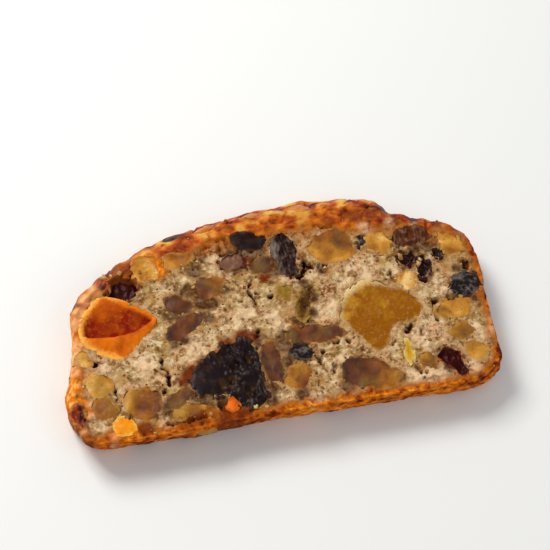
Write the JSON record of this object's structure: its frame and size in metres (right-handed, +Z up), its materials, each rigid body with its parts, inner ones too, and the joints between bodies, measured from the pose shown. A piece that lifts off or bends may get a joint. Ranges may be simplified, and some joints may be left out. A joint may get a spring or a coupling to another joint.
{
  "type": "fruit cake slice",
  "caption": "Thin slice of fruit cake loaf lying on its cut face, with dried apricot, prune, raisins and walnuts set in a pale crumb, and a browned domed crust.",
  "frame": {"origin": "under the middle of the slice, on the surface it lies on", "axes": "+X along the loaf's width, +Y from the tin side to the domed top, +Z up out of the upper cut face"},
  "size_m": [0.1082, 0.0612, 0.009],
  "materials": {
    "cake": "open baked crumb, pale tan, with an orange-brown baked crust round its edge",
    "apricot": "moist dried apricot, translucent amber, paler at its skin",
    "prune": "moist prune, near black, with a soft blue-grey sheen",
    "fig": "dark dried fig flesh, streaky and seedy",
    "date": "dark red-brown date, sticky",
    "raisin": "wrinkled dark raisin, waxy",
    "sultana": "green-gold sultana, translucent",
    "walnut": "cut walnut kernel, cream to tan, with a brown skin at its edge",
    "peel": "candied peel, bright yellow-orange, glassy"
  },
  "bodies": {
    "root": {"apricot_1": "apricot", "apricot_2": "apricot", "apricot_3": "apricot", "crumb_and_crust": "cake", "date_1": "date", "date_2": "date", "date_3": "date", "fig_1": "fig", "peel_1": "peel", "peel_2": "peel", "peel_3": "peel", "peel_4": "peel", "prune_1": "prune", "prune_2": "prune", "prune_3": "prune", "raisin_1": "raisin", "raisin_10": "raisin", "raisin_11": "raisin", "raisin_2": "raisin", "raisin_3": "raisin", "raisin_4": "raisin", "raisin_5": "raisin", "raisin_6": "raisin", "raisin_7": "raisin", "raisin_8": "raisin", "raisin_9": "raisin", "sultana_1": "sultana", "sultana_2": "sultana", "sultana_3": "sultana", "walnut_1": "walnut", "walnut_10": "walnut", "walnut_11": "walnut", "walnut_12": "walnut", "walnut_13": "walnut", "walnut_14": "walnut", "walnut_15": "walnut", "walnut_16": "walnut", "walnut_17": "walnut", "walnut_18": "walnut", "walnut_19": "walnut", "walnut_2": "walnut", "walnut_20": "walnut", "walnut_21": "walnut", "walnut_22": "walnut", "walnut_23": "walnut", "walnut_24": "walnut", "walnut_25": "walnut", "walnut_26": "walnut", "walnut_27": "walnut", "walnut_28": "walnut", "walnut_29": "walnut", "walnut_3": "walnut", "walnut_30": "walnut", "walnut_4": "walnut", "walnut_5": "walnut", "walnut_6": "walnut", "walnut_7": "walnut", "walnut_8": "walnut", "walnut_9": "walnut"}
  },
  "joints": []
}
